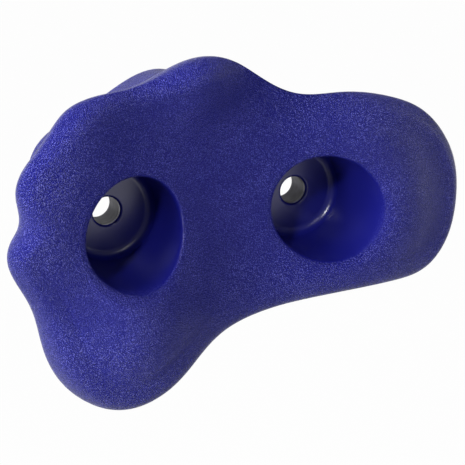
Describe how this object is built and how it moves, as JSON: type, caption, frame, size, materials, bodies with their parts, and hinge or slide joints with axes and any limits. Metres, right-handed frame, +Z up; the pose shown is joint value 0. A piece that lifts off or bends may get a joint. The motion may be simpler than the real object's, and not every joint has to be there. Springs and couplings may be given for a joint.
{
  "type": "climbing hold",
  "caption": "Moulded climbing hold with a lobed, overhanging rim, two deep bolt wells and a ribbed hollow back, bolted flat to a wall.",
  "frame": {"origin": "on the wall plane, midway between the two bolt holes", "axes": "+X runs along the line of the two bolts, from the left bolt to the right one as a climber sees the hold; +Z is up; the wall is the plane Y = 0 and the hold stands out from it towards -Y"},
  "size_m": [0.1799, 0.0548, 0.1276],
  "materials": {
    "moulded_plastic": "fine sand grain outside, smooth inside the wells",
    "sleeve_steel": "turned"
  },
  "bodies": {
    "root": {"hold_body": "moulded_plastic", "left_bolt_sleeve": "sleeve_steel", "right_bolt_sleeve": "sleeve_steel"}
  },
  "joints": []
}
